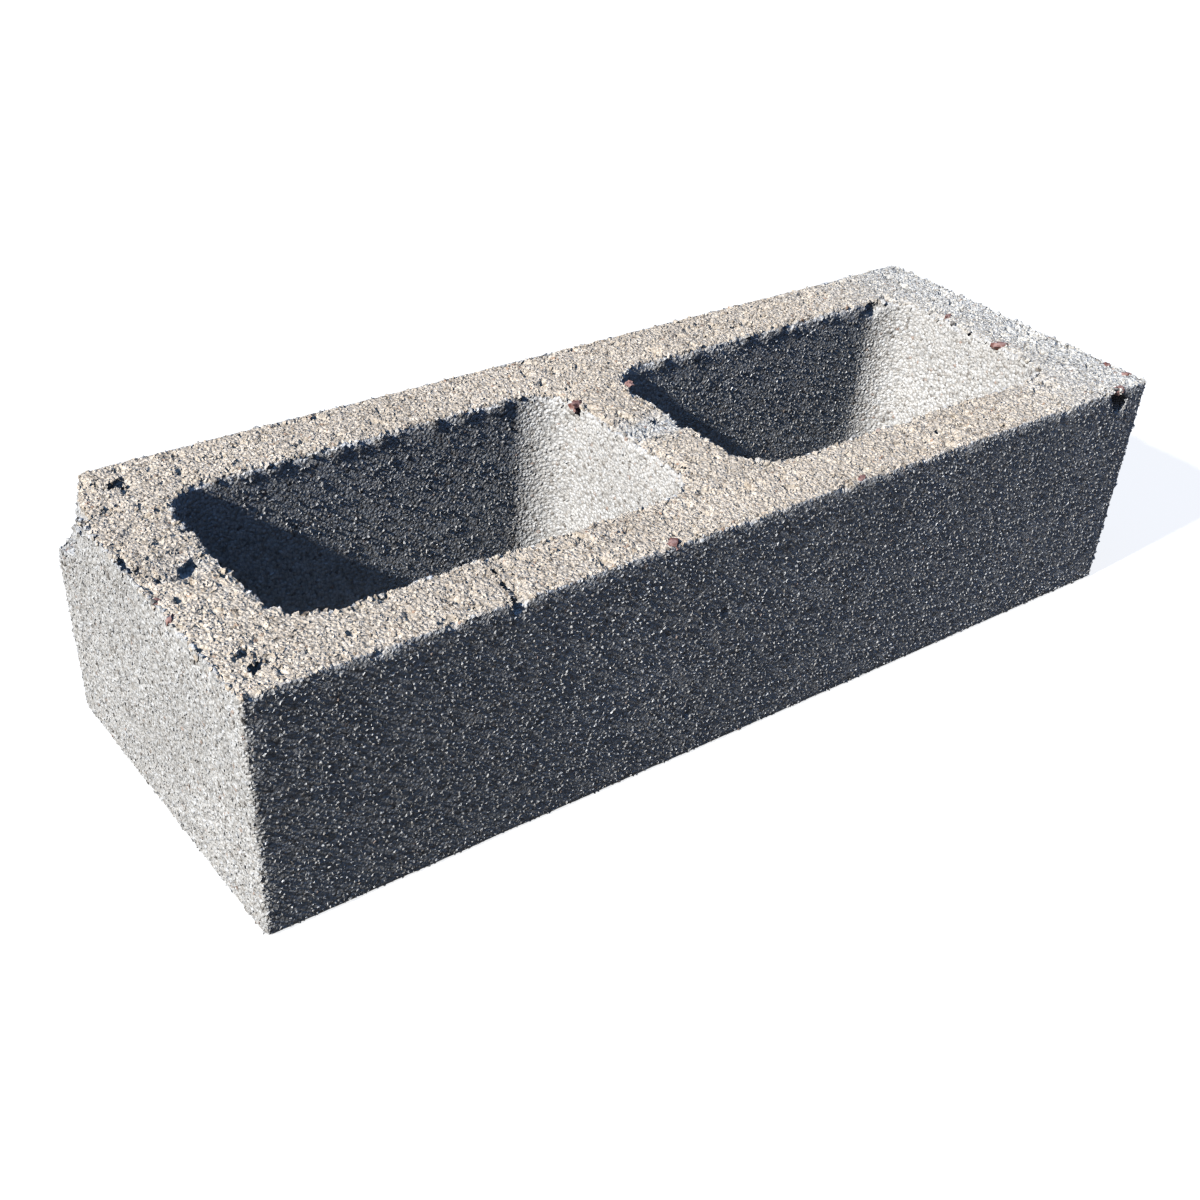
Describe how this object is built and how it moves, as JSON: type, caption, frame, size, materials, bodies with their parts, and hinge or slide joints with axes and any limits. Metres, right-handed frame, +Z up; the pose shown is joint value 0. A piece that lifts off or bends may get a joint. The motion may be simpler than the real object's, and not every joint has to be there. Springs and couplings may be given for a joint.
{
  "type": "hollow concrete block",
  "caption": "Half-high hollow masonry block of cast concrete, with round-cornered cells through its height, drafted cores, crumbly edges and a broken corner.",
  "frame": {"origin": "middle of the lower bed, on the floor the block lies on", "axes": "+X along the length, +Y across the width towards the side with the broken corner, +Z up through the cells"},
  "size_m": [0.3968, 0.143, 0.0921],
  "materials": {
    "concrete": "rough dry-cast concrete, fine-grained, unsealed, warm light grey with tan and red-brown stones showing"
  },
  "bodies": {
    "root": {"concrete_block": "concrete"}
  },
  "joints": []
}
